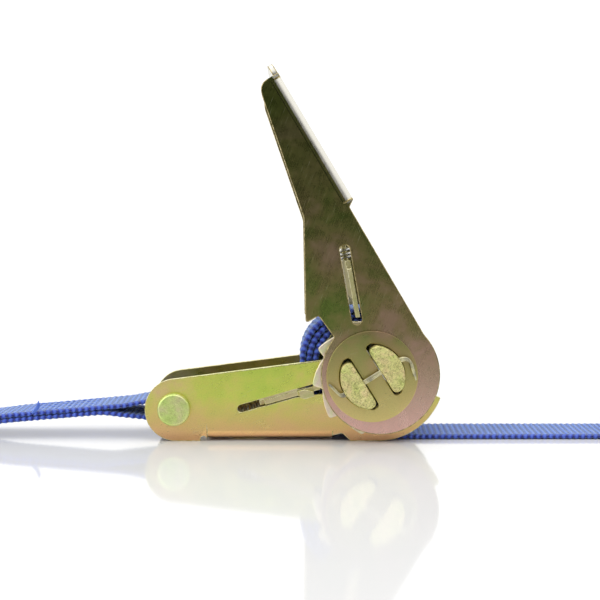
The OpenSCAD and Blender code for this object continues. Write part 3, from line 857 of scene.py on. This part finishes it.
# ---- Pressed and turned steel ----
# CAD node, piece, material, edges' material, body, slot, and the width of its rounded edges
METAL = [
    ("frame_channel", "frame_body", FRAME_ZINC, YELLOW_EDGE, "frame", "frame_steel", 0.2),
    ("handle_channel", "handle_body", HANDLE_ZINC, DARK_EDGE, "handle", "handle_steel", 0.32),
    ("anchor_bolt", "bolt_body", BOLT_ZINC, BOLT_ZINC, "frame", "bolt_steel", 0.3),
    ("anchor_bolt_washer", "bolt_washer", BOLT_ZINC, BOLT_ZINC, "frame", "bolt_steel", 0.2),
    ("anchor_bolt_sleeve", "bolt_sleeve", TUBE_STEEL, TUBE_STEEL, "frame", "plain_steel", 0.15),
    ("frame_pawl", "locking_pawl", PAWL_ZINC, YELLOW_EDGE, "frame_pawl", "frame_steel", 0.22),
    ("drive_pawl", "driving_pawl", PAWL_ZINC, YELLOW_EDGE, "drive_pawl", "frame_steel", 0.22),
    ("drum_half_upper", "half_bar_upper", DRUM_ZINC, DRUM_ZINC, "spool", "drum_steel", 0.5),
    ("drum_half_lower", "half_bar_lower", DRUM_ZINC, DRUM_ZINC, "spool", "drum_steel", 0.5),
    ("near_gear", "near_toothed_wheel", GEAR_ZINC, GEAR_ZINC, "spool", "gear_steel", 0.35),
    ("far_gear", "far_toothed_wheel", GEAR_ZINC, GEAR_ZINC, "spool", "gear_steel", 0.35),
    ("near_washer", "near_cover_washer", WASHER_ZINC, WASHER_ZINC, "spool", "washer_steel", 0.2),
    ("far_washer", "far_cover_washer", WASHER_ZINC, WASHER_ZINC, "spool", "washer_steel", 0.2),
    ("roll_tie", "roll_band", RUBBER, RUBBER, "frame", "tie_rubber", 0.2),
]
for node, name, material, edge, body, slot, width in METAL:
    soft_copy(node, name, material, edge, body, width)


# ---- Springs and pins ----
CLOSED_TURNS = 1.5
STEPS_PER_TURN = 28
# how much closer together the turns are at the spring's ends, as a share of its length
END_BUNCHING = 0.06
# the pin's two wires: offset from its middle line, and share of the length of its legs
PIN_WIRES = ((0.38, 1.0), (-0.38, 0.86))
# the pin's two ends: the way it points, radius and degrees of its bend, and length of its legs
PIN_ENDS = ((1, 2.4, 107, 5.2), (-1, 1.6, 76, 5.0))
BEND_STEPS = 12


def spring(name, node, body, direction, line, moving, seat, turns):
    """A compression spring with closed ends, from its pawl to its seat.

    direction is the slide's in degrees, line the offset of the spring's axis from it, and moving and seat
    are the distances of the spring's two ends along it.
    """
    ax = Vector((math.cos(math.radians(direction)), 0, math.sin(math.radians(direction))))
    up = Vector((-ax.z, 0, ax.x))
    across = Vector((0, 1, 0))
    coils = turns + CLOSED_TURNS
    steps = round(coils * STEPS_PER_TURN)
    points = []
    for k in range(steps + 1):
        t = k / steps
        eased = t - END_BUNCHING * math.sin(2 * math.pi * t)
        along = moving + SPRING_WIRE_R + (seat - moving - 2 * SPRING_WIRE_R) * eased
        angle = 2 * math.pi * coils * t
        beside = across * SPRING_RING_R * math.cos(angle)
        points.append(ax * along + up * (line + SPRING_RING_R * math.sin(angle)) + beside)
    piece = tube(name, points, SPRING_WIRE_R, SPRING_WIRE, body)
    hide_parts(node)
    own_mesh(piece)


spring(
    "locking_spring", "frame_pawl_spring", "frame",
    direction=FRAME_SLIDE, line=-0.7, moving=37.7, seat=46.5, turns=4,
)
spring(
    "driving_spring", "drive_pawl_spring", "handle",
    direction=DRIVE_SLIDE, line=1.2, moving=38.1, seat=49.1, turns=6,
)


def pin_end(bend_r, bend, leg):
    """Half of a pin's wire in two dimensions: from the middle out of the drum, the bend and the leg."""
    part = [(0.0, 0.0), (PIN_EXIT * 0.5, 0.0), (PIN_EXIT, 0.0)]
    for k in range(1, BEND_STEPS + 1):
        a = math.radians(bend * k / BEND_STEPS)
        part.append((PIN_EXIT + bend_r * math.sin(a), bend_r * (1 - math.cos(a))))
    a = math.radians(bend)
    last = part[-1]
    for share in (0.4, 0.75, 1.0):
        part.append((last[0] + math.cos(a) * leg * share, last[1] + math.sin(a) * leg * share))
    return part


def split_pin(name, node, side):
    """Two half-round wires laid together, through the drum and bent over at both ends."""
    base = math.radians(DRUM_TURN)
    ax = Vector((math.cos(base), 0, math.sin(base)))
    down = Vector((math.sin(base), 0, -math.cos(base)))
    wires = []
    for offset, reach in PIN_WIRES:
        halves = [
            [ax * p * way + down * q * way for p, q in pin_end(bend_r, bend, (leg - 0.3) * reach)]
            for way, bend_r, bend, leg in PIN_ENDS
        ]
        line = halves[1][::-1] + halves[0][1:]
        shift = Vector((0, side * PIN_Y, 0)) + down * offset
        taper = [0.45, 0.8] + [1.0] * (len(line) - 4) + [0.85, 0.5]
        wires.append(tube(
            name + str(len(wires)), [p + shift for p in line], PIN_WIRE_R, PIN_WIRE,
            "spool", taper=taper,
        ))
    piece = join(wires)
    piece.name = name
    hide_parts(node)


split_pin("near_pin", "near_split_pin", -1)
split_pin("far_pin", "far_split_pin", 1)


# ---- Stage, light and camera, in metres ----
FLOOR_REACH = 4.0
# the world's brightness, from below and the camera's side to above and behind
WORLD_DARK = 0.13
WORLD_BRIGHT = 1.15
CAMERA_PLACE = (-0.0246, -0.392, 0.0416)
CAMERA_DOWN = 2.62
CAMERA_ASIDE = -0.22
CAMERA_LENS = 69.7


def stage():
    """A white, slightly glossy floor."""
    mesh = bpy.data.meshes.new("studio_floor")
    z = (FLOOR - 0.02) * MM
    corners = [(-1, -1), (1, -1), (1, 1), (-1, 1)]
    mesh.from_pydata([(FLOOR_REACH * x, FLOOR_REACH * y, z) for x, y in corners], [], [(0, 1, 2, 3)])
    floor = bpy.data.objects.new("studio_floor", mesh)
    bpy.context.scene.collection.objects.link(floor)
    s = Shader("studio_white")
    soft = s.noise(s.coordinates(), 0.004, detail=2.0)
    mesh.materials.append(s.finish(
        s.ramp(soft, (0.3, grey(0.76)), (0.7, grey(0.8))), s.spread(soft, 0.3, 0.7, 0.05, 0.08),
        Specular_IOR_Level=0.25,
    ))


def area_light(name, place, target, size, power):
    """A rectangular light that faces a target."""
    data = bpy.data.lights.new(name, "AREA")
    data.shape = "RECTANGLE"
    data.size, data.size_y = size
    data.energy = power
    light = bpy.data.objects.new(name, data)
    bpy.context.scene.collection.objects.link(light)
    light.location = place
    aim = Vector(target) - Vector(place)
    light.rotation_euler = aim.to_track_quat("-Z", "Y").to_euler()


def world():
    """White behind and above the object, and a dark room on the camera's side."""
    made = bpy.data.worlds.new("studio")
    bpy.context.scene.world = made
    made.use_nodes = True
    tree = made.node_tree
    place = tree.nodes.new("ShaderNodeTexCoord")
    axes = tree.nodes.new("ShaderNodeSeparateXYZ")
    tree.links.new(place.outputs["Generated"], axes.inputs[0])
    lift = tree.nodes.new("ShaderNodeMath")
    lift.operation = "MULTIPLY_ADD"
    lift.inputs[1].default_value = 1.1
    tree.links.new(axes.outputs["Z"], lift.inputs[0])
    tree.links.new(axes.outputs["Y"], lift.inputs[2])
    fade = tree.nodes.new("ShaderNodeMapRange")
    fade.interpolation_type = "SMOOTHSTEP"
    fade.inputs["From Min"].default_value = -0.75
    fade.inputs["From Max"].default_value = 0.0
    fade.inputs["To Min"].default_value = WORLD_DARK
    fade.inputs["To Max"].default_value = WORLD_BRIGHT
    tree.links.new(lift.outputs[0], fade.inputs["Value"])
    tree.links.new(fade.outputs["Result"], tree.nodes["Background"].inputs["Strength"])
    tree.nodes["Background"].inputs["Color"].default_value = (1, 1, 1, 1)


def camera():
    """The photo's view, nearly level and across the buckle."""
    data = bpy.data.cameras.new("camera")
    data.lens = CAMERA_LENS
    data.sensor_width = 36
    made = bpy.data.objects.new("camera", data)
    bpy.context.scene.collection.objects.link(made)
    made.location = CAMERA_PLACE
    made.rotation_euler = (math.radians(90 - CAMERA_DOWN), 0, math.radians(CAMERA_ASIDE))
    bpy.context.scene.camera = made


stage()
world()
area_light("top_softbox", (0.05, 0.05, 0.7), (0, 0, 0), (0.9, 0.7), 1.6)
area_light("left_strip", (-0.55, -0.35, 0.35), (-0.03, 0, 0.02), (0.25, 0.5), 1.0)
camera()
bpy.context.scene.view_settings.view_transform = "Standard"
